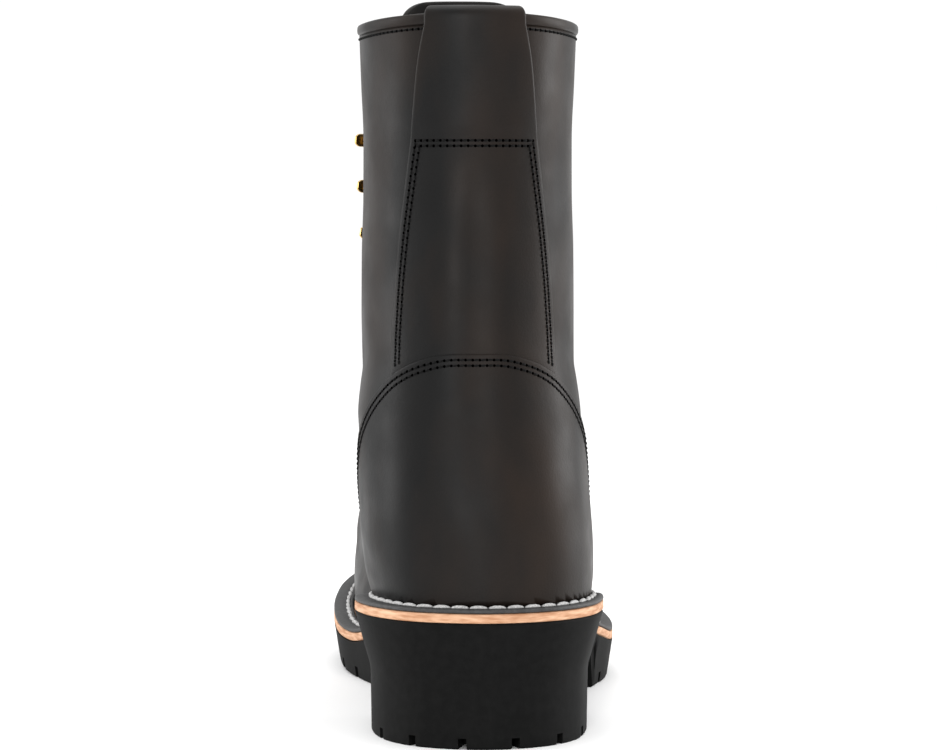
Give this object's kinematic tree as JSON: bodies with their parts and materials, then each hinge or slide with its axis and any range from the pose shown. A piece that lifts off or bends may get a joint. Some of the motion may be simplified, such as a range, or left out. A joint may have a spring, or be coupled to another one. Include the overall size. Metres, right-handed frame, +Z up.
{
  "type": "logger boot",
  "caption": "Tall black leather lace-up work boot for the right foot, with a heel counter, back pull strap, welted leather midsole edge, lugged rubber sole and a high tapered heel.",
  "frame": {"origin": "middle of the boot's bounding box, on the floor it stands on", "axes": "+Z up from the floor, +Y towards the toe, +X towards the outer side of the foot"},
  "size_m": [0.1124, 0.306, 0.2672],
  "materials": {
    "rubber": "matt moulded",
    "edge_leather": "raw tan edge, fibrous",
    "welt_leather": "black, stitched",
    "footbed": "matt lining",
    "black_leather": "oiled full grain, soft sheen",
    "cord": "woven, matt",
    "brass": "satin"
  },
  "bodies": {
    "root": {"outsole": "rubber", "midsole": "edge_leather", "welt": "welt_leather", "insole": "footbed", "upper": "black_leather", "counter": "black_leather", "backstay": "black_leather", "collar_binding": "black_leather", "tongue": "black_leather", "lace": "cord", "eyelet_1_outer": "brass", "eyelet_1_inner": "brass", "eyelet_2_outer": "brass", "eyelet_2_inner": "brass", "eyelet_3_outer": "brass", "eyelet_3_inner": "brass", "eyelet_4_outer": "brass", "eyelet_4_inner": "brass", "eyelet_5_outer": "brass", "eyelet_5_inner": "brass", "hook_1_outer": "brass", "hook_1_inner": "brass", "hook_2_outer": "brass", "hook_2_inner": "brass", "hook_3_outer": "brass", "hook_3_inner": "brass", "hook_4_outer": "brass", "hook_4_inner": "brass"}
  },
  "joints": []
}
